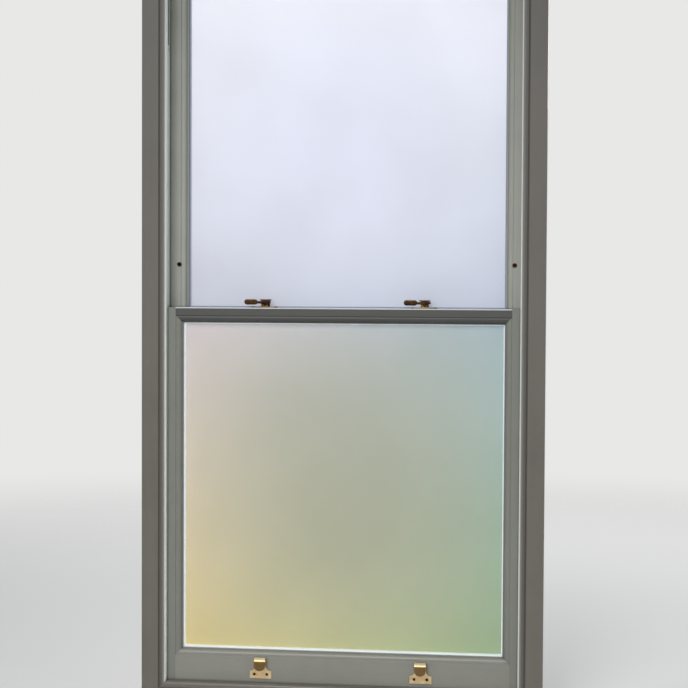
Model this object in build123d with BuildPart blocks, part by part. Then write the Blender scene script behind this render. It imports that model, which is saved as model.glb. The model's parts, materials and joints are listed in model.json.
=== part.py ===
from build123d import *
import os
from math import cos, hypot, radians, sin, tan

# A timber sliding sash window in its frame: two single-pane sashes of equal glass
# size that pass each other in two runs, held by spiral spring balances, with hook
# lifts, cam fasteners and screw-in stop sockets in brass.
#
# Millimetres. +X is to the right as seen from the room, +Y points outdoors, +Z up.
# The origin is on the sill's underside, midway along it, below the parting beads.

os.makedirs("parts", exist_ok=True)

# Glass and sash sections
glass_width = 760.0            # visible glass between the stiles
glass_height = 776.0           # visible glass in each sash
sash_thickness = 44.0
stile_width = 50.0
top_rail_height = 50.0
meeting_rail_height = 36.0
bottom_rail_height = 94.0
moulding_width = 17.0          # from the glass to the flat face
ovolo_end = 14.5               # where the round meets the quirk
quirk_depth = 1.5
fillet_width = 3.0             # the flat step beside the glass
fillet_depth = 9.5
ovolo_start_depth = 8.0
ovolo_rise = 2.5               # how far the round stands out from its chord
quirk_run = 1.0
glass_depth = 14.0             # from the sash's room face to the glass
rebate_width = 13.0
meeting_bevel_top = 5.5        # how far the meeting rails reach past the sash, at the top
meeting_bevel_bottom = 2.0     # and at the bottom
meeting_gap = 0.5
horn_length = 60.0
horn_foot = 14.0               # width of a horn at its lower end

# Double glazing
pane_thickness = 4.0
cavity = 12.0
glass_cover = 10.0             # how far the glass reaches behind the sash
edge_seal = 4.0
spacer_show = 2.5              # how far the spacer stands inside the visible glass
glazing_bead_edge = 3.0        # thickness of a glazing bead at the glass
mitre_gap = 0.1                # between glazing beads at their mitres

# Frame
jamb_thickness = 42.0
bead_cover = 15.5              # how far staff beads and outer linings cover the sashes
staff_bead_width = 18.0
lining_thickness = 19.0
outer_lining_thickness = 20.0
staff_bead_proud = 1.0
staff_bead_nose = 8.0
staff_bead_quirk = 2.0
parting_thickness = 8.0
parting_projection = 9.0
parting_groove = 7.0
groove_clearance = 0.2
face_clearance = 1.0           # between a sash and the beads beside it
side_clearance = 2.0           # between a sash and the jambs and head
seat_clearance = 0.3
head_housing = 6.0
edge_round = 1.5

# Sill
sill_height = 62.0
sill_slope = 8.0
sill_step = 6.0
sill_overhang = 42.0
drip_width = 8.0
drip_depth = 7.0
drip_inset = 9.0
board_groove = 9.0             # for the window board, in the sill's room face
board_groove_height = 30.0

# Spiral balances
tube_head_gap = 38.0           # between the upper sash's tubes and the head
tube_radius = 7.0
tube_wall = 1.0
tube_plug = 20.0
tube_run_out = 10.0
tube_gap = 0.1
rod_width = 5.6
rod_thickness = 2.0
rod_engagement = 50.0
rod_steps = 40                 # eighths of a turn in the twist
bush_height = 12.0
bush_bore = 3.4
foot_height = 14.0
foot_gap = 10.0
foot_reach = 16.0
foot_lift = 10.0
balance_groove = 17.0

# Brass fittings
fitting_offset = 190.0         # lifts and fasteners, from the centre line
screw_shank = 1.75
screw_head = 3.6
screw_length = 18.0
tube_screw_length = 32.0       # through a balance tube's plug into the jamb
screw_slot = 0.9
hole_clearance = 0.05

lift_plate_width = 52.0
lift_plate_height = 18.0
lift_neck_width = 27.0
lift_height = 51.0
lift_thickness = 2.5
lift_bend_radius = 7.5         # inside the hook
lift_tip_height = 21.0
lift_above_bead = 9.5
lift_screw_spread = 30.0
lift_screw_height = 10.0
lift_shoulder = 9.0

fastener_length = 62.0
fastener_base_width = 20.0
fastener_plate = 2.5
fastener_screw_spread = 48.0
pivot_inset = 14.0             # pivot, room side of the parting plane
pivot_radius = 2.5
pivot_clearance = 0.05
boss_foot_radius = 9.5
boss_radius = 7.0
boss_height = 8.0
hub_radius = 8.0
hub_height = 8.5
hub_gap = 0.1
cam_rise = 2.5                 # above the hub's underside
cam_thickness = 5.0
cam_small_radius = 14.0
cam_large_radius = 24.0
cam_start_angle = 20.0
cam_end_angle = -110.0
cam_points = 9
handle_length = 48.0
handle_neck = 6.0
handle_thickness = 6.0
paddle_length = 32.0
paddle_height = 13.0
paddle_thickness = 7.5
paddle_rise = 1.0              # of its middle above the hub's
paddle_round = 2.5
keeper_length = 50.0
keeper_plate_front = 4.0       # outdoors side of the parting plane
keeper_plate_depth = 13.0
keeper_screw_spread = 38.0
claw_front = 1.5
claw_post_front = 9.5
claw_post_depth = 4.0
claw_post_width = 18.0
claw_width = 26.0
claw_lip = 3.0
claw_clearance = 1.0
rivet_head_radius = 4.5
rivet_head_height = 2.0

stop_rise = 102.0              # stop sockets, above the meeting rails
stop_inset = 20.5              # from the visible glass
stop_flange_radius = 5.5
stop_flange = 1.0
stop_barrel_radius = 4.5
stop_barrel = 20.0
stop_bore_radius = 3.0
stop_bore_depth = 18.0

# Places that follow from the sizes above
half_sight = glass_width / 2
half_flat = half_sight + moulding_width
half_sash = half_sight + stile_width
half_jamb = half_sash + side_clearance
half_frame = half_jamb + jamb_thickness
half_bead = half_jamb - bead_cover
half_parting = half_jamb - parting_projection
half_lining = half_bead + staff_bead_width

inner_back = -parting_thickness / 2 - face_clearance
inner_front = inner_back - sash_thickness
outer_front = -inner_back
outer_back = outer_front + sash_thickness
run_front = inner_front - face_clearance
run_back = outer_back + face_clearance
room_face = run_front - lining_thickness
street_face = run_back + outer_lining_thickness
sill_nose = street_face + sill_overhang

step_line = parting_thickness / 2 + face_clearance
slope = tan(radians(sill_slope))
step_top = sill_height - slope * (step_line - run_front)
nose_height = step_top - sill_step - slope * (sill_nose - step_line)

lower_bottom = sill_height + seat_clearance
lower_sight_low = lower_bottom + bottom_rail_height
lower_sight_high = lower_sight_low + glass_height
meeting_top = lower_sight_high + meeting_rail_height
meeting_bottom = lower_sight_high
upper_sight_low = meeting_top
upper_sight_high = upper_sight_low + glass_height
upper_top = upper_sight_high + top_rail_height
soffit = upper_top + side_clearance
frame_top = soffit + jamb_thickness

bevel_run = (meeting_bevel_top - meeting_bevel_bottom) / meeting_rail_height
bevel_at_rebate = meeting_bevel_bottom + bevel_run * rebate_width

glass_back = glass_depth + 2 * pane_thickness + cavity
balance_x = half_jamb - tube_radius - tube_gap
inner_run = (inner_front + inner_back) / 2
outer_run = (outer_front + outer_back) / 2
lower_foot = lower_bottom + foot_lift
upper_foot = meeting_bottom + foot_lift
tube_foot_gap = foot_height + foot_gap + bush_height
tube_length = soffit - tube_head_gap - upper_foot - tube_foot_gap
travel = tube_length - rod_engagement - tube_run_out - tube_plug
rod_length = foot_gap + bush_height + rod_engagement + travel
hub_low = meeting_top + boss_height + hub_gap
hub_high = hub_low + hub_height
cam_low = hub_low + cam_rise
lip_low = cam_low + cam_thickness + claw_clearance
claw_top = lip_low + claw_lip
lift_low = sill_height + staff_bead_width + lift_above_bead

# Cutting tools reach past what they cut
past = 20.0


def sill_outline(drop):
    """Corners of the sill's weathered top and of all below it, lowered by drop."""
    return [
        (room_face - past, -past),
        (room_face - past, sill_height - drop),
        (run_front, sill_height - drop),
        (step_line, step_top - drop),
        (step_line, step_top - sill_step - drop),
        (sill_nose, nose_height - drop),
        (sill_nose + past, nose_height - drop - slope * past),
        (sill_nose + past, -past),
    ]


def sill_tool(lift):
    """The sill and all below it, lift higher than it is, as a solid that cuts."""
    with BuildPart() as tool:
        with BuildSketch(Plane.YZ):
            Polygon(*sill_outline(-lift), align=None)
        extrude(amount=half_frame + past, both=True)
    return tool.part


def outline_tool(corners):
    """An outline seen from the room, as a solid that keeps what lies inside it."""
    with BuildPart() as tool:
        with BuildSketch(Plane.XZ):
            Polygon(*corners, align=None)
        extrude(amount=sill_nose + past, both=True)
    return tool.part


def moulded_face(place, width):
    """A sash bar's section: place turns (out from the glass, in from the room) into a point."""
    run = ovolo_end - fillet_width
    fall = ovolo_start_depth - quirk_depth
    share = ovolo_rise / hypot(run, fall)
    round_mid = (
        (fillet_width + ovolo_end) / 2 - fall * share,
        (ovolo_start_depth + quirk_depth) / 2 - run * share,
    )
    with BuildSketch() as section:
        with BuildLine():
            Polyline(
                place(rebate_width, glass_depth),
                place(0, glass_depth),
                place(0, fillet_depth),
                place(fillet_width, fillet_depth),
                place(fillet_width, ovolo_start_depth),
            )
            ThreePointArc(
                place(fillet_width, ovolo_start_depth),
                place(*round_mid),
                place(ovolo_end, quirk_depth),
            )
            Polyline(
                place(ovolo_end, quirk_depth),
                place(moulding_width - quirk_run, quirk_depth),
                place(moulding_width, 0),
                place(width, 0),
                place(width, sash_thickness),
                place(rebate_width, sash_thickness),
                place(rebate_width, glass_depth),
            )
        make_face()
    return section.sketch


def stile(side, front, low, high, outline):
    """A stile of either sash, grooved down its outer edge for a balance."""
    section = moulded_face(lambda u, v: (side * (half_sight + u), front + v), stile_width)
    inside = outline_tool(outline)
    with BuildPart() as bar:
        with BuildSketch(Plane.XY.offset(low)):
            add(section)
        extrude(amount=high - low)
        add(inside, mode=Mode.INTERSECT)
        groove_x = side * (half_sash - balance_groove / 2)
        with BuildSketch(Plane.XY.offset(low - past)):
            with Locations((groove_x, front + sash_thickness / 2)):
                Rectangle(balance_groove, balance_groove)
        extrude(amount=high - low + 2 * past, mode=Mode.SUBTRACT)
    return bar.part


def rail(front, sight, out, height):
    """A moulded rail: out is 1 for a rail above the glass and -1 for one below it."""
    section = moulded_face(lambda u, v: (front + v, sight + out * u), height)
    inside = outline_tool(
        [
            (-half_sight, sight),
            (half_sight, sight),
            (half_flat, sight + out * moulding_width),
            (half_flat, sight + out * (height + past)),
            (-half_flat, sight + out * (height + past)),
            (-half_flat, sight + out * moulding_width),
        ]
    )
    with BuildPart() as bar:
        with BuildSketch(Plane.YZ.offset(-half_flat)):
            add(section)
        extrude(amount=2 * half_flat)
        add(inside, mode=Mode.INTERSECT)
    return bar.part


def horn_face(side):
    """A horn seen from the room: an ogee from under the meeting rail down to its foot."""
    top = (side * half_flat, meeting_bottom)
    foot = (side * (half_sash - horn_foot), meeting_bottom - horn_length)
    middle = ((top[0] + foot[0]) / 2, (top[1] + foot[1]) / 2)
    bow = 0.12 * horn_length
    edge = side * half_sash
    with BuildSketch() as outline:
        with BuildLine():
            ThreePointArc(
                top,
                ((top[0] + middle[0]) / 2 - side * bow / 2, (top[1] + middle[1]) / 2 - bow / 3),
                middle,
            )
            ThreePointArc(
                middle,
                ((middle[0] + foot[0]) / 2 + side * bow / 2, (middle[1] + foot[1]) / 2 + bow / 3),
                foot,
            )
            Polyline(foot, (edge, foot[1]), (edge, top[1]), top)
        make_face()
    return outline.sketch


def double_glazing(name, front, sight_low):
    """Two panes and the spacer between them, for the sash whose room face is at front."""
    pane_width = glass_width + 2 * glass_cover
    pane_height = glass_height + 2 * glass_cover
    middle = (0, sight_low + glass_height / 2)
    near = front + glass_depth
    far = near + pane_thickness + cavity

    def pane(room_side):
        with BuildPart() as sheet:
            with BuildSketch(Plane.XZ.offset(-room_side)):
                with Locations(middle):
                    Rectangle(pane_width, pane_height)
            extrude(amount=-pane_thickness)
        return sheet.part

    with BuildPart() as spacer:
        with BuildSketch(Plane.XZ.offset(-near - pane_thickness)):
            with Locations(middle):
                Rectangle(pane_width - 2 * edge_seal, pane_height - 2 * edge_seal)
                Rectangle(
                    glass_width - 2 * spacer_show,
                    glass_height - 2 * spacer_show,
                    mode=Mode.SUBTRACT,
                )
        extrude(amount=-cavity)
    save(pane(near), name + "_clear_pane")
    save(spacer.part, name + "_glazing_spacer")
    save(pane(far), name + "_obscured_pane")


def glazing_beads(front, sight_low):
    """Four mitred beads that hold the glass from outdoors."""
    near = front + glass_back
    far = front + sash_thickness
    sight_high = sight_low + glass_height
    strips = []
    corners = [(0, near), (rebate_width, near), (rebate_width, far)]
    corners += [(rebate_width - glazing_bead_edge, far), (0, near + glazing_bead_edge)]
    for side in (-1, 1):
        reach = side * (half_sight + rebate_width)
        inside = outline_tool(
            [
                (side * half_sight, sight_low + mitre_gap),
                (side * half_sight, sight_high - mitre_gap),
                (reach, sight_high + rebate_width - mitre_gap),
                (reach, sight_low - rebate_width + mitre_gap),
            ]
        )
        with BuildPart() as upright:
            with BuildSketch(Plane.XY.offset(sight_low - rebate_width)):
                Polygon(*[(side * (half_sight + u), v) for u, v in corners], align=None)
            extrude(amount=glass_height + 2 * rebate_width)
            add(inside, mode=Mode.INTERSECT)
        strips.append(upright.part)
    for sight, out in ((sight_low, -1), (sight_high, 1)):
        reach = half_sight + rebate_width
        inside = outline_tool(
            [
                (-half_sight, sight),
                (half_sight, sight),
                (reach, sight + out * rebate_width),
                (-reach, sight + out * rebate_width),
            ]
        )
        with BuildPart() as level:
            with BuildSketch(Plane.YZ.offset(-reach)):
                Polygon(*[(v, sight + out * u) for u, v in corners], align=None)
            extrude(amount=2 * reach)
            add(inside, mode=Mode.INTERSECT)
        strips.append(level.part)
    return strips


def screw(head_plane, grip, length=screw_length):
    """A countersunk slotted screw: head_plane lies on the plate's face and points out of it."""
    with BuildPart() as fixing:
        with BuildSketch(head_plane):
            Circle(screw_head)
        with BuildSketch(head_plane.offset(-grip)):
            Circle(screw_shank)
        loft()
        with BuildSketch(head_plane.offset(-grip)):
            Circle(screw_shank)
        extrude(amount=-(length - grip))
        with BuildSketch(head_plane):
            Rectangle(2 * screw_head, screw_slot)
        extrude(amount=-screw_slot, mode=Mode.SUBTRACT)
    return fixing.part


def screw_holes(head_planes, grip, length=screw_length):
    """The countersunk holes of some screws, as solids that cut."""
    with BuildPart() as tool:
        for head_plane in head_planes:
            with BuildSketch(head_plane):
                Circle(screw_head + hole_clearance)
            with BuildSketch(head_plane.offset(-grip)):
                Circle(screw_shank + hole_clearance)
            loft()
            with BuildSketch(head_plane.offset(-grip)):
                Circle(screw_shank + hole_clearance)
            extrude(amount=-(length + hole_clearance - grip))
    return tool.part


def save(solid, name):
    """Writes one piece."""
    solid.label = name
    export_step(solid, "parts/" + name + ".step")


def save_group(solids, name):
    """Writes several like pieces as one node of separate solids."""
    with BuildPart() as group:
        for solid in solids:
            add(solid)
    save(group.part, name)


# Where the screws are, each as the plane of its head
def lift_planes(side):
    """The two screws of a lift, in the bottom rail's room face."""
    spread = lift_screw_spread / 2
    face = inner_front - lift_thickness
    height = lift_low + lift_screw_height
    return [
        Plane((side * fitting_offset + dx, face, height), x_dir=(1, 0, 0), z_dir=(0, -1, 0))
        for dx in (-spread, spread)
    ]


def fastener_planes(side, spread, y):
    """Two screws of a fastener or keeper, in the top of a meeting rail."""
    height = meeting_top + fastener_plate
    return [Plane((side * fitting_offset + dx, y, height)) for dx in (-spread / 2, spread / 2)]


def balance_plane(side, run, top):
    """The screw that fixes a balance tube's plug to the jamb."""
    x = side * (balance_x - tube_radius)
    z = top - tube_plug / 2
    return Plane((x, run, z), x_dir=(0, 1, 0), z_dir=(-side, 0, 0))


tube_tops = {}
for run_name, foot in (("lower", lower_foot), ("upper", upper_foot)):
    rise = travel if run_name == "lower" else 0
    tube_tops[run_name] = foot + tube_foot_gap + rise + tube_length
runs = {"lower": inner_run, "upper": outer_run}
keeper_y = keeper_plate_front + keeper_plate_depth / 2
frame_seat = sill_tool(0.0)
sash_seat = sill_tool(seat_clearance)

# Frame
with BuildPart() as sill:
    with BuildSketch(Plane.YZ.offset(-half_frame)):
        with BuildLine():
            Polyline(
                (room_face, 0),
                (room_face, sill_height),
                (run_front, sill_height),
                (step_line, step_top),
                (step_line, step_top - sill_step),
                (sill_nose, nose_height),
                (sill_nose, 0),
                close=True,
            )
        make_face()
        with Locations((sill_nose - drip_inset - drip_width / 2, drip_depth / 2)):
            Rectangle(drip_width, drip_depth, mode=Mode.SUBTRACT)
        with Locations((room_face + board_groove / 2, board_groove_height)):
            Rectangle(board_groove, board_groove, mode=Mode.SUBTRACT)
    extrude(amount=2 * half_frame)
    nose_edge = sill.edges().filter_by(Axis.X).group_by(Axis.Y)[-1].sort_by(Axis.Z)[-1]
    fillet(nose_edge, edge_round * 3)
save(sill.part, "sill")

for side, hand in ((-1, "left"), (1, "right")):
    holes = screw_holes(
        [balance_plane(side, runs[name], tube_tops[name]) for name in ("lower", "upper")],
        2 * screw_shank,
        tube_screw_length,
    )
    with BuildPart() as jamb:
        with BuildSketch(Plane.XY):
            with Locations((side * (half_jamb + jamb_thickness / 2), (run_front + run_back) / 2)):
                Rectangle(jamb_thickness, run_back - run_front)
            with Locations((side * (half_jamb + parting_groove / 2), 0)):
                Rectangle(
                    parting_groove,
                    parting_thickness + groove_clearance,
                    mode=Mode.SUBTRACT,
                )
        extrude(amount=soffit + head_housing)
        add(frame_seat, mode=Mode.SUBTRACT)
        add(holes, mode=Mode.SUBTRACT)
    save(jamb.part, hand + "_jamb")

    with BuildPart() as inner_lining:
        with BuildSketch(Plane.XY):
            with Locations((side * (half_lining + half_frame) / 2, (room_face + run_front) / 2)):
                Rectangle(half_frame - half_lining, lining_thickness)
        extrude(amount=frame_top)
        add(frame_seat, mode=Mode.SUBTRACT)
    save(inner_lining.part, hand + "_inner_lining")

    with BuildPart() as outer_lining:
        with BuildSketch(Plane.XY):
            with Locations((side * (half_bead + half_frame) / 2, (run_back + street_face) / 2)):
                Rectangle(half_frame - half_bead, outer_lining_thickness)
        extrude(amount=frame_top)
        add(frame_seat, mode=Mode.SUBTRACT)
        arris = outer_lining.edges().filter_by(Axis.Z).group_by(Axis.Y)[-1].sort_by(Axis.X)
        fillet(arris[-1] if side < 0 else arris[0], edge_round)
    save(outer_lining.part, hand + "_outer_lining")

    with BuildPart() as parting_bead:
        with BuildSketch(Plane.XY):
            inset = parting_projection + parting_groove - groove_clearance
            with Locations((side * (half_parting + inset / 2), 0)):
                Rectangle(inset, parting_thickness)
        extrude(amount=soffit)
        add(frame_seat, mode=Mode.SUBTRACT)
        tip = parting_bead.edges().filter_by(Axis.Z).sort_by(Axis.X)
        fillet(tip[-2:] if side < 0 else tip[:2], edge_round)
    save(parting_bead.part, hand + "_parting_bead")

with BuildPart() as head:
    with BuildSketch(Plane.YZ.offset(-half_frame)):
        with Locations(((run_front + run_back) / 2, soffit + jamb_thickness / 2)):
            Rectangle(run_back - run_front, jamb_thickness)
        with Locations((0, soffit + parting_groove / 2)):
            Rectangle(
                parting_thickness + groove_clearance,
                parting_groove,
                mode=Mode.SUBTRACT,
            )
    extrude(amount=2 * half_frame)
    with BuildSketch(Plane.XY.offset(soffit)):
        with Locations((-half_jamb - jamb_thickness / 2, 0), (half_jamb + jamb_thickness / 2, 0)):
            Rectangle(jamb_thickness, 2 * run_back)
    extrude(amount=head_housing, mode=Mode.SUBTRACT)
save(head.part, "head")

with BuildPart() as head_inner_lining:
    low = soffit - bead_cover + staff_bead_width
    with BuildSketch(Plane.XZ.offset(-run_front)):
        with Locations((0, (low + frame_top) / 2)):
            Rectangle(2 * half_lining, frame_top - low)
    extrude(amount=lining_thickness)
save(head_inner_lining.part, "head_inner_lining")

with BuildPart() as head_outer_lining:
    low = soffit - bead_cover
    with BuildSketch(Plane.XZ.offset(-run_back)):
        with Locations((0, (low + frame_top) / 2)):
            Rectangle(2 * half_bead, frame_top - low)
    extrude(amount=-outer_lining_thickness)
    arris = head_outer_lining.edges().filter_by(Axis.X).group_by(Axis.Y)[-1].sort_by(Axis.Z)[0]
    fillet(arris, edge_round)
save(head_outer_lining.part, "head_outer_lining")

with BuildPart() as head_parting_bead:
    with BuildSketch(Plane.YZ.offset(-half_parting)):
        inset = parting_projection + parting_groove - groove_clearance
        with Locations((0, soffit - parting_projection + inset / 2)):
            Rectangle(parting_thickness, inset)
    extrude(amount=2 * half_parting)
save(head_parting_bead.part, "head_parting_bead")


def staff_bead_face(place):
    """A staff bead's section: place turns (out from its nose, in from the room) into a point."""
    depth = lining_thickness + staff_bead_proud
    inset = staff_bead_nose * (1 - cos(radians(45)))
    with BuildSketch() as section:
        with BuildLine():
            Polyline(
                place(staff_bead_width, depth),
                place(0, depth),
                place(0, staff_bead_nose),
            )
            ThreePointArc(
                place(0, staff_bead_nose),
                place(inset, inset),
                place(staff_bead_nose, 0),
            )
            Polyline(
                place(staff_bead_nose, 0),
                place(staff_bead_width - 2 * staff_bead_quirk, 0),
                place(staff_bead_width - staff_bead_quirk, staff_bead_quirk),
                place(staff_bead_width, staff_bead_quirk),
                place(staff_bead_width, depth),
            )
        make_face()
    return section.sketch


bead_front = room_face - staff_bead_proud
bead_low = sill_height + staff_bead_width
bead_high = soffit - bead_cover
for side, hand in ((-1, "left"), (1, "right")):
    section = staff_bead_face(lambda u, v: (side * (half_bead + u), bead_front + v))
    inside = outline_tool(
        [
            (side * half_bead, bead_low),
            (side * half_bead, bead_high),
            (side * half_lining, bead_high + staff_bead_width),
            (side * half_lining, sill_height),
        ]
    )
    with BuildPart() as side_bead:
        with BuildSketch(Plane.XY.offset(sill_height)):
            add(section)
        extrude(amount=bead_high + staff_bead_width - sill_height)
        add(inside, mode=Mode.INTERSECT)
    save(side_bead.part, hand + "_staff_bead")

for name, nose, out in (("head", bead_high, 1), ("sill", bead_low, -1)):
    section = staff_bead_face(lambda u, v: (bead_front + v, nose + out * u))
    inside = outline_tool(
        [
            (-half_bead, nose),
            (half_bead, nose),
            (half_lining, nose + out * staff_bead_width),
            (-half_lining, nose + out * staff_bead_width),
        ]
    )
    with BuildPart() as level_bead:
        with BuildSketch(Plane.YZ.offset(-half_lining)):
            add(section)
        extrude(amount=2 * half_lining)
        add(inside, mode=Mode.INTERSECT)
    save(level_bead.part, name + "_staff_bead")

# Lower sash, in the run next to the room
for side, hand in ((-1, "left"), (1, "right")):
    edge = half_sash + past
    bar = stile(
        side,
        inner_front,
        step_top - sill_step,
        meeting_top,
        [
            (side * half_flat, sill_height - past),
            (side * half_flat, lower_sight_low - moulding_width),
            (side * half_sight, lower_sight_low),
            (side * half_sight, lower_sight_high),
            (side * half_flat, lower_sight_high + moulding_width),
            (side * half_flat, meeting_top),
            (side * edge, meeting_top),
            (side * edge, sill_height - past),
        ],
    )
    with BuildPart() as lower_stile:
        add(bar)
        add(sash_seat, mode=Mode.SUBTRACT)
    save(lower_stile.part, "lower_" + hand + "_stile")

bar = rail(inner_front, lower_sight_low, -1, bottom_rail_height + past)
holes = screw_holes(lift_planes(-1) + lift_planes(1), lift_thickness)
with BuildPart() as bottom_rail:
    add(bar)
    add(sash_seat, mode=Mode.SUBTRACT)
    add(holes, mode=Mode.SUBTRACT)
save(bottom_rail.part, "lower_bottom_rail")

bar = rail(inner_front, lower_sight_high, 1, meeting_rail_height)
fastener_screw_planes = []
keeper_screw_planes = []
for side in (-1, 1):
    fastener_screw_planes += fastener_planes(side, fastener_screw_spread, -pivot_inset)
    keeper_screw_planes += fastener_planes(side, keeper_screw_spread, keeper_y)
fastener_holes = screw_holes(fastener_screw_planes, fastener_plate)
keeper_holes = screw_holes(keeper_screw_planes, fastener_plate)
with BuildPart() as lower_meeting_rail:
    add(bar)
    with BuildSketch(Plane.YZ.offset(-half_parting + side_clearance)):
        Polygon(
            (inner_back, meeting_bottom + rebate_width),
            (inner_back, meeting_top),
            (inner_back + meeting_bevel_top, meeting_top),
            (inner_back + bevel_at_rebate, meeting_bottom + rebate_width),
            align=None,
        )
    extrude(amount=2 * (half_parting - side_clearance))
    add(fastener_holes, mode=Mode.SUBTRACT)
save(lower_meeting_rail.part, "lower_meeting_rail")

double_glazing("lower", inner_front, lower_sight_low)
save_group(glazing_beads(inner_front, lower_sight_low), "lower_glazing_beads")

# Upper sash, in the outdoor run, with horns below its meeting rail
for side, hand in ((-1, "left"), (1, "right")):
    edge = half_sash + past
    bar = stile(
        side,
        outer_front,
        meeting_bottom,
        upper_top,
        [
            (side * half_flat, meeting_bottom),
            (side * half_flat, upper_sight_low),
            (side * half_sight, upper_sight_low),
            (side * half_sight, upper_sight_high),
            (side * half_flat, upper_sight_high + moulding_width),
            (side * half_flat, upper_top),
            (side * edge, upper_top),
            (side * edge, meeting_bottom),
        ],
    )
    horn = horn_face(side)
    with BuildPart() as upper_stile:
        add(bar)
        with BuildSketch(Plane.XZ.offset(-outer_front)):
            add(horn)
        extrude(amount=-sash_thickness)
        with BuildSketch(Plane.XY.offset(meeting_bottom - horn_length - past)):
            with Locations((side * (half_sash - balance_groove / 2), outer_run)):
                Rectangle(balance_groove, balance_groove)
        extrude(amount=horn_length + 2 * past, mode=Mode.SUBTRACT)
        stop_plane = Plane(
            (side * (half_sight + stop_inset), outer_front, meeting_top + stop_rise),
            x_dir=(1, 0, 0),
            z_dir=(0, -1, 0),
        )
        with BuildSketch(stop_plane):
            Circle(stop_barrel_radius + hole_clearance)
        extrude(amount=-(stop_barrel + hole_clearance), mode=Mode.SUBTRACT)
    save(upper_stile.part, "upper_" + hand + "_stile")

    with BuildPart() as stop_socket:
        with BuildSketch(stop_plane):
            Circle(stop_flange_radius)
        extrude(amount=stop_flange)
        with BuildSketch(stop_plane):
            Circle(stop_barrel_radius)
        extrude(amount=-stop_barrel)
        with BuildSketch(stop_plane.offset(stop_flange)):
            Circle(stop_bore_radius)
        extrude(amount=-(stop_bore_depth + stop_flange), mode=Mode.SUBTRACT)
        mouth = stop_socket.faces().sort_by(Axis.Y)[0]
        chamfer(mouth.edges(), stop_flange / 2)
    save(stop_socket.part, hand + "_stop_socket")

save(rail(outer_front, upper_sight_high, 1, top_rail_height), "upper_top_rail")

with BuildPart() as upper_meeting_rail:
    with BuildSketch(Plane.YZ.offset(-half_flat)):
        Polygon(
            (outer_front, meeting_bottom),
            (outer_back, meeting_bottom),
            (outer_back, meeting_top - rebate_width),
            (outer_front + glass_depth, meeting_top - rebate_width),
            (outer_front + glass_depth, meeting_top),
            (outer_front, meeting_top),
            align=None,
        )
    extrude(amount=2 * half_flat)
    with BuildSketch(Plane.YZ.offset(-half_parting + side_clearance)):
        Polygon(
            (outer_front, meeting_bottom),
            (outer_front, meeting_top),
            (inner_back + meeting_bevel_top + meeting_gap, meeting_top),
            (inner_back + meeting_bevel_bottom + meeting_gap, meeting_bottom),
            align=None,
        )
    extrude(amount=2 * (half_parting - side_clearance))
    add(keeper_holes, mode=Mode.SUBTRACT)
save(upper_meeting_rail.part, "upper_meeting_rail")

double_glazing("upper", outer_front, upper_sight_low)
save_group(glazing_beads(outer_front, upper_sight_low), "upper_glazing_beads")

# Spiral balances
bushes = []
tube_screws = []
for run_name, foot in (("lower", lower_foot), ("upper", upper_foot)):
    feet = []
    run = runs[run_name]
    top = tube_tops[run_name]
    rod_low = foot + foot_height
    for side, hand in ((-1, "left"), (1, "right")):
        centre = (side * balance_x, run)
        fixing = balance_plane(side, run, top)
        hole = screw_holes([fixing], 2 * screw_shank, tube_screw_length)
        with BuildPart() as tube:
            with BuildSketch(Plane.XY.offset(top - tube_length)):
                with Locations(centre):
                    Circle(tube_radius)
            extrude(amount=tube_length)
            with BuildSketch(Plane.XY.offset(top - tube_length)):
                with Locations(centre):
                    Circle(tube_radius - tube_wall)
            extrude(amount=tube_length - tube_plug, mode=Mode.SUBTRACT)
            add(hole, mode=Mode.SUBTRACT)
        save(tube.part, run_name + "_" + hand + "_balance_tube")
        tube_screws.append(screw(fixing, 2 * screw_shank, tube_screw_length))

        with BuildPart() as bush:
            with BuildSketch(Plane.XY.offset(top - tube_length - bush_height)):
                with Locations(centre):
                    Circle(tube_radius)
                    Circle(bush_bore, mode=Mode.SUBTRACT)
            extrude(amount=bush_height)
        bushes.append(bush.part)

        with BuildPart() as rod:
            for count in range(rod_steps + 1):
                with BuildSketch(Plane.XY.offset(rod_low + rod_length * count / rod_steps)):
                    with Locations(Location((*centre, 0), (0, 0, 45 * count))):
                        Rectangle(rod_width, rod_thickness)
            loft(ruled=True)
        save(rod.part, run_name + "_" + hand + "_balance_rod")

        with BuildPart() as rod_foot:
            with BuildSketch(Plane.XY.offset(foot)):
                with Locations((side * (half_sash - balance_groove + foot_reach / 2), run)):
                    Rectangle(foot_reach, balance_groove)
            extrude(amount=foot_height)
            chamfer(rod_foot.edges().group_by(Axis.Z)[0], edge_round)
        feet.append(rod_foot.part)
    save_group(feet, run_name + "_balance_feet")
save_group(bushes, "balance_bushes")
save_group(tube_screws, "balance_screws")

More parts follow.
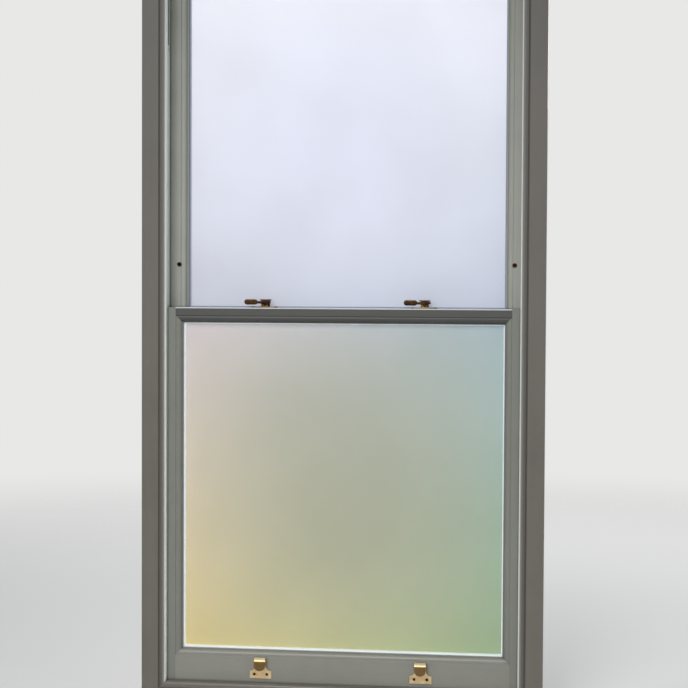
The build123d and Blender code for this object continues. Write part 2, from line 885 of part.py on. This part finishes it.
# Hook lifts on the bottom rail
for side, hand in ((-1, "left"), (1, "right")):
    centre = side * fitting_offset
    half_plate = lift_plate_width / 2
    half_neck = lift_neck_width / 2
    shoulder = lift_low + lift_plate_height
    bend = lift_low + lift_height - lift_bend_radius - lift_thickness
    holes = screw_holes(lift_planes(side), lift_thickness)
    with BuildPart() as lift_plate:
        with BuildSketch(Plane.XZ.offset(-inner_front)):
            with BuildLine():
                Polyline(
                    (centre - half_neck, bend),
                    (centre - half_neck, shoulder + lift_shoulder),
                )
                RadiusArc(
                    (centre - half_neck, shoulder + lift_shoulder),
                    (centre - half_plate, shoulder),
                    half_plate - half_neck,
                )
                Polyline(
                    (centre - half_plate, shoulder),
                    (centre - half_plate, lift_low),
                    (centre + half_plate, lift_low),
                    (centre + half_plate, shoulder),
                )
                RadiusArc(
                    (centre + half_plate, shoulder),
                    (centre + half_neck, shoulder + lift_shoulder),
                    half_plate - half_neck,
                )
                Polyline(
                    (centre + half_neck, shoulder + lift_shoulder),
                    (centre + half_neck, bend),
                    (centre - half_neck, bend),
                )
            make_face()
        extrude(amount=lift_thickness)
    with BuildPart() as hook:
        outer = lift_bend_radius + lift_thickness
        crown = inner_front - outer
        with BuildSketch(Plane.YZ.offset(centre - half_neck)):
            with Locations((crown, bend)):
                Circle(outer)
                Circle(lift_bend_radius, mode=Mode.SUBTRACT)
            with Locations((crown, bend - outer)):
                Rectangle(2 * outer, 2 * outer, mode=Mode.SUBTRACT)
            tongue = bend - lift_low - lift_tip_height
            with Locations((crown - outer + lift_thickness / 2, bend - tongue / 2)):
                Rectangle(lift_thickness, tongue)
        extrude(amount=lift_neck_width)
        with BuildSketch(Plane.XZ.offset(-inner_front)):
            with Locations((centre, lift_low + lift_tip_height + half_neck)):
                Circle(half_neck)
            with Locations((centre, lift_low + lift_tip_height + half_neck + lift_height / 2)):
                Rectangle(lift_neck_width, lift_height)
        extrude(amount=2 * outer, mode=Mode.INTERSECT)
    with BuildPart() as sash_lift:
        add(lift_plate.part)
        add(hook.part)
        add(holes, mode=Mode.SUBTRACT)
    save(sash_lift.part, hand + "_sash_lift")
lift_screw_planes = lift_planes(-1) + lift_planes(1)
save_group([screw(plane, lift_thickness) for plane in lift_screw_planes], "sash_lift_screws")

# Cam fasteners, drawn open: the cam is turned away from the claw
pivots = []
for side, hand in ((-1, "left"), (1, "right")):
    x = side * fitting_offset
    pivot_foot = Plane((x, -pivot_inset, meeting_top))
    with BuildPart() as base:
        with BuildSketch(pivot_foot):
            SlotOverall(fastener_length, fastener_base_width)
        extrude(amount=fastener_plate)
        with BuildSketch(pivot_foot):
            Circle(boss_foot_radius)
        with BuildSketch(pivot_foot.offset(boss_height)):
            Circle(boss_radius)
        loft()
        with BuildSketch(pivot_foot):
            Circle(pivot_radius)
        extrude(amount=boss_height, mode=Mode.SUBTRACT)
        add(fastener_holes, mode=Mode.SUBTRACT)
    save(base.part, hand + "_fastener_base")

    rivet_length = hub_high + pivot_clearance - meeting_top
    with BuildPart() as pivot:
        with BuildSketch(pivot_foot):
            Circle(pivot_radius)
        extrude(amount=rivet_length)
        with BuildSketch(pivot_foot.offset(rivet_length)):
            Circle(rivet_head_radius)
        extrude(amount=rivet_head_height)
        fillet(pivot.edges().filter_by(GeomType.CIRCLE).sort_by(Axis.Z)[-1], rivet_head_height / 2)
    pivots.append(pivot.part)

    rim = []
    for count in range(cam_points):
        share = count / (cam_points - 1)
        angle = radians(cam_start_angle + share * (cam_end_angle - cam_start_angle))
        radius = cam_small_radius + share * (cam_large_radius - cam_small_radius)
        rim.append((radius * cos(angle), radius * sin(angle)))
    hub_middle = (hub_low + hub_high) / 2
    side_view = Plane((x, -pivot_inset, hub_middle), x_dir=(1, 0, 0), z_dir=(0, -1, 0))
    with BuildPart() as paddle:
        with BuildSketch(side_view):
            with Locations((-handle_length + paddle_length / 2, paddle_rise)):
                SlotOverall(paddle_length, paddle_height)
        extrude(amount=paddle_thickness / 2, both=True)
        fillet(paddle.edges().group_by(Axis.Y)[0], paddle_round)
        fillet(paddle.edges().group_by(Axis.Y)[-1], paddle_round)
    with BuildPart() as lever:
        with BuildSketch(Plane((x, -pivot_inset, hub_low))):
            Circle(hub_radius)
        extrude(amount=hub_height)
        with BuildSketch(Plane((x, -pivot_inset, cam_low))):
            with BuildLine():
                Spline(*rim)
                Polyline(rim[-1], (0, 0), rim[0])
            make_face()
        extrude(amount=cam_thickness)
        with BuildSketch(side_view):
            with Locations(((handle_neck - handle_length) / 2, 0)):
                Rectangle(handle_length - handle_neck, handle_neck)
        extrude(amount=handle_thickness / 2, both=True)
        add(paddle.part)
        with BuildSketch(Plane((x, -pivot_inset, hub_middle))):
            Circle(pivot_radius + pivot_clearance)
        extrude(amount=hub_height, both=True, mode=Mode.SUBTRACT)
    save(lever.part, hand + "_fastener_lever")

    with BuildPart() as keeper:
        with BuildSketch(Plane((x, keeper_y, meeting_top))):
            Rectangle(keeper_length, keeper_plate_depth)
        extrude(amount=fastener_plate)
        fillet(keeper.edges().filter_by(Axis.Z), edge_round)
        post_back = claw_post_front + claw_post_depth
        with BuildSketch(Plane.XY.offset(meeting_top)):
            with Locations((x, (claw_post_front + post_back) / 2)):
                Rectangle(claw_post_width, claw_post_depth)
        extrude(amount=lip_low - meeting_top)
        with BuildSketch(Plane.YZ.offset(x - claw_width / 2)):
            Polygon(
                (claw_front, lip_low),
                (claw_front, claw_top - claw_lip / 2),
                (claw_front + claw_lip / 2, claw_top),
                (post_back - claw_lip / 2, claw_top),
                (post_back, claw_top - claw_lip / 2),
                (post_back, lip_low),
                align=None,
            )
        extrude(amount=claw_width)
        add(keeper_holes, mode=Mode.SUBTRACT)
    save(keeper.part, hand + "_fastener_keeper")

save_group(pivots, "fastener_pivots")
save_group([screw(plane, fastener_plate) for plane in fastener_screw_planes], "fastener_screws")
save_group([screw(plane, fastener_plate) for plane in keeper_screw_planes], "keeper_screws")
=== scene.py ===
import json
import math

import bpy
from mathutils import Matrix, Vector


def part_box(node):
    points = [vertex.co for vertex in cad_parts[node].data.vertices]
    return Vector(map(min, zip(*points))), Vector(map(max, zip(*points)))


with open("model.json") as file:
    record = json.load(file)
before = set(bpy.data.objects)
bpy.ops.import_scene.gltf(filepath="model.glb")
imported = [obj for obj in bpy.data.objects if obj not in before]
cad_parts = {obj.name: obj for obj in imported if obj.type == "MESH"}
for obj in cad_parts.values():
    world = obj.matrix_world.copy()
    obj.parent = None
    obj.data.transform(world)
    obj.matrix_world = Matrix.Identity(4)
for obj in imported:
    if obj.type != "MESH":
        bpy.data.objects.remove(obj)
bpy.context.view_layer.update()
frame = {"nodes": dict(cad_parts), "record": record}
nodes = frame["nodes"]
slots = {part["node"]: part["material_slot"] for part in frame["record"]["subparts"]}

IMAGE_WIDTH = 688
GLASS_IOR = 1.52
EVEN = (1.0, 1.0, 1.0)  # no stretch of a pattern


def grey(level):
    return (level, level, level, 1.0)


BLACK, WHITE = grey(0.0), grey(1.0)


def linear(red, green, blue):
    """A colour written as it looks on screen, 0 to 255, turned to linear light."""
    def one(value):
        value /= 255
        return value / 12.92 if value <= 0.04045 else ((value + 0.055) / 1.055) ** 2.4
    return (one(red), one(green), one(blue), 1.0)


def toned(colour, share):
    """The colour, darker or lighter by share."""
    return tuple(min(1.0, part * share) for part in colour[:3]) + (1.0,)


class Nodes:
    """Adds shader nodes to one material and joins them."""

    def __init__(self, name):
        self.material = bpy.data.materials.new(name)
        self.material.use_nodes = True
        self.tree = self.material.node_tree
        self.shader = self.tree.nodes["Principled BSDF"]

    def add(self, kind):
        return self.tree.nodes.new("ShaderNode" + kind)

    def link(self, source, target):
        self.tree.links.new(source, target)

    def set(self, socket, value):
        """A number or colour that is the same all over the surface."""
        self.shader.inputs[socket].default_value = value

    def feed(self, socket, source):
        """A value that changes over the surface."""
        self.link(source, self.shader.inputs[socket])

    def pattern_place(self, stretch=EVEN):
        """The surface's own position in metres, stretched."""
        where = self.add("TexCoord")
        mapping = self.add("Mapping")
        mapping.inputs["Scale"].default_value = stretch
        self.link(where.outputs["Object"], mapping.inputs["Vector"])
        return mapping.outputs["Vector"]

    def position(self):
        """The surface's own X, Y and Z in metres."""
        where = self.add("TexCoord")
        parts = self.add("SeparateXYZ")
        self.link(where.outputs["Object"], parts.inputs["Vector"])
        return parts.outputs

    def facing(self):
        """The X, Y and Z of the direction that the surface faces."""
        geometry = self.add("NewGeometry")
        parts = self.add("SeparateXYZ")
        self.link(geometry.outputs["Normal"], parts.inputs["Vector"])
        return parts.outputs

    def noise(self, scale, detail, roughness=0.5, stretch=EVEN):
        node = self.add("TexNoise")
        node.inputs["Scale"].default_value = scale
        node.inputs["Detail"].default_value = detail
        node.inputs["Roughness"].default_value = roughness
        self.link(self.pattern_place(stretch), node.inputs["Vector"])
        return node.outputs["Fac"]

    def ramp(self, value, *stops):
        """A colour for each value: stops are (position, colour)."""
        node = self.add("ValToRGB")
        steps = node.color_ramp.elements
        while len(steps) < len(stops):
            steps.new(0.5)
        for step, (position, colour) in zip(steps, stops):
            step.position = position
            step.color = colour
        self.link(value, node.inputs["Fac"])
        return node.outputs["Color"]

    def mix(self, share, first, second, blend="MIX"):
        node = self.add("Mix")
        node.data_type = "RGBA"
        node.blend_type = blend
        for socket, value in (("Factor", share), ("A", first), ("B", second)):
            target = next(s for s in node.inputs if s.name == socket and s.enabled)
            if isinstance(value, (int, float, tuple)):
                target.default_value = value
            else:
                self.link(value, target)
        return next(s for s in node.outputs if s.enabled)

    def times(self, first, second):
        return self.mix(1.0, first, second, "MULTIPLY")

    def share(self, value, start, end):
        """0 at start, 1 at end."""
        return self.map_range(value, "From Min", start, "From Max", end)

    def span(self, value, low, high):
        """Turns 0 to 1 into low to high."""
        return self.map_range(value, "To Min", low, "To Max", high)

    def map_range(self, value, first, at_first, second, at_second):
        node = self.add("MapRange")
        node.inputs[first].default_value = at_first
        node.inputs[second].default_value = at_second
        self.link(value, node.inputs["Value"])
        return node.outputs["Result"]

    def bump(self, height, strength, distance, normal=None):
        node = self.add("Bump")
        node.inputs["Strength"].default_value = strength
        node.inputs["Distance"].default_value = distance
        self.link(height, node.inputs["Height"])
        if normal is not None:
            self.link(normal, node.inputs["Normal"])
        return node.outputs["Normal"]

    def shade_crevices(self, colour, reach, depth):
        """Paints shade into a colour where the surface is closed in within reach, down to depth
        times.
        """
        node = self.add("AmbientOcclusion")
        node.samples = 8
        node.inputs["Distance"].default_value = reach
        # painted shade: the colour darkens in creases, hollows and joints
        crevice_shade = (depth, depth, depth * 0.96, 1.0)
        return self.times(colour, self.ramp(node.outputs["AO"], (0.30, crevice_shade), (0.85, WHITE)))

    def math(self, operation, first, second=None):
        node = self.add("Math")
        node.operation = operation
        for socket, value in zip(node.inputs, (first, second)):
            if isinstance(value, (int, float)):
                socket.default_value = value
            elif value is not None:
                self.link(value, socket)
        return node.outputs[0]

    def soft_edges(self, radius):
        node = self.add("Bevel")
        node.samples = 6
        node.inputs["Radius"].default_value = radius
        return node.outputs["Normal"]


def paint(name, grain, base, nose=None, arris=None, rim=None, face=None):
    """Brushed eggshell paint, with its strokes along the timber and painted shade in its creases.

    nose is another colour, for painted highlight and shade, on the sides or, where arris is
    given, above that height.
    rim keeps it within that distance of the window's middle.
    face is an outer and an inner distance from there: painted shading of a rounded face, the
    paint turning paler from one to the other. All three need a nose.
    """
    made = Nodes(name)
    cloud = made.noise(scale=7.0, detail=4.0, roughness=0.6)
    strokes = made.noise(scale=60.0, detail=4.0, roughness=0.65, stretch=grain)
    fine = made.noise(scale=900.0, detail=2.0)
    stroke_share, face_share = 0.28, 0.85
    light, dark = toned(base, 1.07), toned(base, 0.90)
    colour = made.ramp(cloud, (0.30, dark), (0.50, base), (0.72, light))
    worn = made.ramp(strokes, (0.30, dark), (0.62, light))
    colour = made.mix(stroke_share, colour, worn)
    # The nose colour is painted light: a highlight on the staff beads' noses and the meeting
    # rail's top arris, shade on the upper sash's sides
    if nose:
        where = made.position()
        towards_room = made.math("ABSOLUTE", made.facing()["Y"])
        on_nose = made.ramp(towards_room, (0.55, WHITE), (0.98, BLACK))
        # Painted shading: the face darker at its outer edge and paler towards the window, as on a
        # rounded bead
        if face:
            outer, inner = face
            across = made.share(made.math("ABSOLUTE", where["X"]), outer, inner)
            steps = ((0.0, 0.52), (0.38, 0.62), (0.58, 0.95), (0.75, 1.9))
            shaded = made.ramp(across, *((place, toned(base, tone)) for place, tone in steps))
            colour = made.mix(face_share, colour, shaded)
        if rim:
            within = made.math("LESS_THAN", made.math("ABSOLUTE", where["X"]), rim)
            on_nose = made.math("MULTIPLY", on_nose, within)
        if arris:
            on_nose = made.math("GREATER_THAN", where["Z"], arris)
        colour = made.mix(on_nose, colour, nose)
    # Painted shade: the paint darkens in quirks, creases and the joints between parts
    made.feed("Base Color", made.shade_crevices(colour, reach=0.007, depth=0.34))
    made.feed("Roughness", made.span(strokes, 0.30, 0.46))
    brushed = made.bump(strokes, strength=0.22, distance=0.0005, normal=made.soft_edges(0.0011))
    made.feed("Normal", made.bump(fine, strength=0.05, distance=0.0002, normal=brushed))
    made.set("Specular IOR Level", 0.42)
    return made.material


def brass(name, tones, top_highlight, hook=None):
    """Lacquered brass: three tones, a painted highlight on what faces up, and painted shade on
    the hook.

    hook is the Y of the plate that it stands on and of its own face.
    """
    made = Nodes(name)
    cloud = made.noise(scale=55.0, detail=5.0, roughness=0.65)
    specks = made.noise(scale=420.0, detail=3.0, roughness=0.6)
    colour = made.ramp(cloud, *zip((0.28, 0.48, 0.70), tones))
    # Painted shade: the hook's face darker and browner than the plate it stands on
    if hook:
        plate, tip = hook
        hook_shade = made.ramp(specks, (0.30, linear(70, 48, 16)), (0.70, linear(128, 98, 50)))
        colour = made.mix(made.share(made.position()["Y"], plate, tip), colour, hook_shade)
    # Painted highlight: what faces up is paler
    top = made.ramp(made.facing()["Z"], (0.35, BLACK), (0.85, WHITE))
    colour = made.mix(top, colour, top_highlight)
    speck_share = 0.12
    speckled = made.ramp(specks, (0.35, tones[0]), (0.60, tones[2]))
    colour = made.mix(speck_share, colour, speckled)
    # Painted shade: the brass darkens in its hollows
    made.feed("Base Color", made.shade_crevices(colour, reach=0.004, depth=0.30))
    made.set("Metallic", 1.0)
    made.feed("Roughness", made.span(cloud, 0.40, 0.24))
    soft = made.soft_edges(0.0006)
    made.feed("Normal", made.bump(specks, strength=0.06, distance=0.0002, normal=soft))
    return made.material


def clear_glass(name):
    made = Nodes(name)
    made.set("Base Color", linear(236, 242, 240))
    made.set("Roughness", 0.02)
    made.set("IOR", GLASS_IOR)
    made.set("Alpha", 0.07)
    made.material.surface_render_method = "BLENDED"
    return made.material


def obscured_glass(name, tints, middle, daylight):
    """Etched glass, lit from outdoors: pale and glowing, with a soft change of tint from corner
    to corner; the glow and the tints are painted daylight.

    tints are those of the lower left, lower right, upper left and upper right corners.
    """
    low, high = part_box(name)
    made = Nodes(name)
    where = made.position()
    across = made.share(where["X"], low[0], high[0])
    upward = made.share(where["Z"], low[2], high[2])
    # Painted light: the tints and the middle colour are those of the daylight coming through from
    # outdoors
    bottom = made.mix(across, tints[0], tints[1])
    top = made.mix(across, tints[2], tints[3])
    colour = made.mix(upward, bottom, top)
    humps = []  # each 0 at both edges and 1 halfway
    for share in (across, upward):
        rest = made.math("SUBTRACT", 1.0, share)
        humps.append(made.math("MULTIPLY", made.math("MULTIPLY", share, rest), 4.0))
    hump = made.math("MULTIPLY", *humps)
    middle_share, reflected_share = 0.60, 0.80
    colour = made.mix(made.math("MULTIPLY", hump, middle_share), colour, middle)
    cloud = made.noise(scale=3.6, detail=3.0, roughness=0.55)
    shade = made.ramp(cloud, (0.30, (0.90, 0.90, 0.88, 1.0)), (0.70, WHITE))
    colour = made.times(colour, shade)
    made.feed("Base Color", made.times(colour, grey(reflected_share)))
    # Painted light: the glass glows with the daylight behind it
    made.feed("Emission Color", colour)
    made.set("Emission Strength", daylight)
    etched = made.noise(scale=2600.0, detail=2.0)
    made.feed("Normal", made.bump(etched, strength=0.08, distance=0.0001))
    made.set("Roughness", 0.42)
    made.set("IOR", GLASS_IOR)
    return made.material


def plain(name, colour, roughness, metallic=0.0, glow=0.0):
    """A moulded or plated finish with a little unevenness; glow is daylight behind it."""
    made = Nodes(name)
    cloud = made.noise(scale=40.0, detail=3.0)
    made.feed("Base Color", made.ramp(cloud, (0.3, toned(colour, 0.92)), (0.65, colour)))
    made.set("Metallic", metallic)
    if glow:
        made.set("Emission Color", colour)
        made.set("Emission Strength", glow)
    made.feed("Roughness", made.span(cloud, roughness * 0.85, roughness * 1.15))
    fine = made.noise(scale=500.0, detail=2.0)
    soft = made.soft_edges(0.0004)
    made.feed("Normal", made.bump(fine, strength=0.03, distance=0.0002, normal=soft))
    return made.material


# Paints: one paint, in greys with the light and shade that the daylight behind the window gives
# each part painted in
frame_paint = linear(104, 100, 93)
sash_paint = linear(134, 134, 126)
stile_paint = linear(122, 124, 116)
upper_paint = linear(168, 170, 160)
# Painted shade: the upper sash's stiles darker on their sides
upper_side_shade = linear(136, 138, 131)
meeting_rail_paint = linear(73, 74, 71)
# Painted highlight: a pale line along the lower meeting rail's top arris
meeting_top_highlight = linear(206, 213, 216)
# Painted highlight: the staff beads' inner noses, lit by the glass
bead_nose_highlight = linear(238, 244, 238)
upright, level = (1.0, 1.0, 0.035), (0.035, 1.0, 1.0)  # the stretch along the timber
paints = {
    ("frame", upright): paint("frame_paint_upright", upright, frame_paint),
    ("frame", level): paint("frame_paint_level", level, frame_paint),
    ("sash", upright): paint("sash_paint_upright", upright, stile_paint),
    ("sash", level): paint("sash_paint_level", level, sash_paint),
    ("upper", upright): paint("upper_sash_paint_upright", upright, upper_paint, upper_side_shade),
    ("upper", level): paint("upper_sash_paint_level", level, upper_paint),
}
arris_depth = 0.0022
meeting_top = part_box("lower_meeting_rail")[1][2]
bead_nose_width = 0.0035
bead_inner, bead_outer = (corner[0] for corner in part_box("right_staff_bead"))
# Painted highlight on the staff beads' noses, and painted shading across their faces
staff_bead = paint(
    "staff_bead_paint", upright, frame_paint, bead_nose_highlight,
    rim=bead_inner + bead_nose_width, face=(bead_outer, bead_inner),
)
# Painted light: the parting beads in a paler paint, lifting the shade of the channels they stand
# in
parting_bead = paint("parting_bead_paint", upright, linear(184, 187, 178))
special_paints = {
    "left_staff_bead": staff_bead,
    "right_staff_bead": staff_bead,
    "left_parting_bead": parting_bead,
    "right_parting_bead": parting_bead,
    # painted highlight along the top arris of the meeting rail
    "lower_meeting_rail": paint(
        "meeting_rail_paint", level, meeting_rail_paint, meeting_top_highlight,
        arris=meeting_top - arris_depth,
    ),
}

# Brass: the tones of each fitting, dark to pale
pale_tones = (linear(196, 164, 116), linear(222, 194, 150), linear(238, 216, 178))
dark_tones = (linear(33, 22, 14), linear(54, 38, 24), linear(94, 70, 46))
olive_tones = (linear(82, 66, 34), linear(128, 106, 62), linear(176, 150, 100))
screw_tones = (linear(40, 26, 14), linear(64, 42, 24), linear(96, 66, 40))
lift_plate_face, lift_hook_face = -0.0535, -0.0600
lift_brass = brass(
    "lift_brass", pale_tones, linear(250, 236, 204), hook=(lift_plate_face, lift_hook_face)
)
fastener_brass = brass("fastener_brass", dark_tones, linear(170, 138, 96))
base_brass = brass("fastener_base_brass", olive_tones, linear(214, 190, 146))
screw_brass = brass("screw_brass", screw_tones, linear(120, 88, 56))

# Glass and the rest
other_finishes = {
    "clear_glass": clear_glass("clear_glass"),
    "spacer": plain("spacer_bar", linear(240, 246, 252), roughness=0.40, glow=0.26),
    "balance_plastic": plain("balance_plastic", linear(206, 210, 202), roughness=0.45),
    "steel": plain("plated_steel", linear(172, 174, 176), roughness=0.34, metallic=1.0),
}
# Painted shade: the upper pane's spacer bar a darker, bluish copy of the glowing spacer
upper_spacer_shaded = plain("upper_spacer_bar", linear(156, 160, 182), roughness=0.40)
# Painted light: the colours of the daylight from outdoors at each pane's corners
lower_daylight_tints = (
    linear(218, 196, 122), linear(138, 168, 118), linear(214, 202, 204), linear(160, 182, 190)
)
upper_daylight_tints = (
    linear(182, 184, 198), linear(178, 184, 202), linear(243, 244, 255), linear(243, 244, 255)
)


def paint_for(name):
    if name in special_paints:
        return special_paints[name]
    lies = level if any(word in name for word in ("sill", "head", "rail")) else upright
    frame_words = ("sill", "head", "jamb", "lining", "bead")
    if any(word in name for word in frame_words) and "glazing" not in name:
        return paints["frame", lies]
    return paints["upper" if name.startswith("upper") else "sash", lies]


def brass_for(name):
    for word, finish in (
        ("screws", screw_brass), ("fastener_base", base_brass), ("lift", lift_brass)
    ):
        if word in name:
            return finish
    return fastener_brass


def glass_for(name):
    # Painted light: each pane's tints, middle colour and glow of daylight
    if name.startswith("lower"):
        return obscured_glass(name, lower_daylight_tints, middle=linear(145, 146, 119), daylight=0.26)
    return obscured_glass(name, upper_daylight_tints, middle=linear(209, 211, 232), daylight=0.57)


chosen_by_name = {"paint": paint_for, "brass": brass_for, "obscured_glass": glass_for}
for name, node in nodes.items():
    slot = slots[name]
    if slot in chosen_by_name:
        finish = chosen_by_name[slot](name)
    elif name == "upper_glazing_spacer":
        finish = upper_spacer_shaded
    else:
        finish = other_finishes[slot]
    node.data.materials.clear()
    node.data.materials.append(finish)

# The floor fades into the pale background with distance
pale = linear(232, 232, 231)
fade_start, fade_end = 1.2, 5.5
ground = Nodes("floor")
ground.set("Base Color", pale)
ground.set("Roughness", 0.85)
where = ground.add("TexCoord")
distance = ground.add("VectorMath")
distance.operation = "LENGTH"
ground.link(where.outputs["Object"], distance.inputs[0])
fade = ground.add("MapRange")
fade.interpolation_type = "SMOOTHSTEP"
for socket, value in (
    ("From Min", fade_start), ("From Max", fade_end), ("To Min", 1.0), ("To Max", 0.0)
):
    fade.inputs[socket].default_value = value
ground.link(distance.outputs["Value"], fade.inputs["Value"])
ground.feed("Alpha", fade.outputs["Result"])
bpy.ops.mesh.primitive_plane_add(size=14, location=(0, 0, 0))
floor = bpy.context.object
floor.name = "floor"
floor.data.materials.append(ground.material)

# The background: soft light on the object, and a pale backdrop for the camera, metal and glass
room_light = 0.36
world = bpy.data.worlds.new("room")
bpy.context.scene.world = world
world.use_nodes = True
sky = world.node_tree
soft_light = sky.nodes["Background"]
soft_light.inputs["Color"].default_value = (0.95, 0.97, 1.0, 1.0)
soft_light.inputs["Strength"].default_value = room_light
backdrop = sky.nodes.new("ShaderNodeBackground")
backdrop.inputs["Color"].default_value = pale
backdrop.inputs["Strength"].default_value = 1.0
rays = sky.nodes.new("ShaderNodeLightPath").outputs
shows = rays["Is Camera Ray"]
for kind in ("Is Glossy Ray", "Is Transmission Ray"):
    either = sky.nodes.new("ShaderNodeMath")
    either.operation = "ADD"
    either.use_clamp = True
    sky.links.new(shows, either.inputs[0])
    sky.links.new(rays[kind], either.inputs[1])
    shows = either.outputs[0]
choice = sky.nodes.new("ShaderNodeMixShader")
for source, socket in zip((shows, soft_light.outputs[0], backdrop.outputs[0]), choice.inputs):
    sky.links.new(source, socket)
sky.links.new(choice.outputs[0], sky.nodes["World Output"].inputs["Surface"])


def put(name, data):
    made = bpy.data.objects.new(name, data)
    bpy.context.collection.objects.link(made)
    return made


def lamp(name, place, target, size, power, spread=180.0):
    light = bpy.data.lights.new(name, "AREA")
    light.shape = "SQUARE"
    light.size = size
    light.energy = power
    light.spread = math.radians(spread)
    stand = put(name, light)
    stand.location = place
    aim = Vector(target) - Vector(place)
    stand.rotation_euler = aim.to_track_quat("-Z", "Y").to_euler()
    stand.visible_camera = False


lamp("key", place=(-0.5, -3.6, 2.4), target=(0, 0, 0), size=1.6, power=12.6, spread=60.0)
lamp("fill", place=(2.8, -2.8, 1.5), target=(0, 0, 0.8), size=1.8, power=7)
lamp("outdoors", place=(0.6, 3.2, 3.0), target=(0, 0, 0.9), size=2.8, power=70)

# Camera, at the photograph's angle
camera_place = (0.5067, -4.0, 1.0300)
focal_pixels = 1702.1
yaw, pitch, roll = math.radians(7.230), math.radians(-2.088), math.radians(0.274)
forward = Vector(
    (-math.sin(yaw) * math.cos(pitch), math.cos(yaw) * math.cos(pitch), math.sin(pitch))
)
flat_right = Vector((math.cos(yaw), math.sin(yaw), 0.0))
flat_up = flat_right.cross(forward)
right = flat_right * math.cos(roll) + flat_up * math.sin(roll)
up = flat_up * math.cos(roll) - flat_right * math.sin(roll)
camera_data = bpy.data.cameras.new("camera")
camera_data.sensor_width = 36.0
camera_data.lens = camera_data.sensor_width * focal_pixels / IMAGE_WIDTH
camera = put("camera", camera_data)
turned = Matrix((right, up, -forward)).transposed().to_4x4()
camera.matrix_world = Matrix.Translation(camera_place) @ turned
bpy.context.scene.camera = camera
bpy.context.scene.view_settings.view_transform = "Standard"
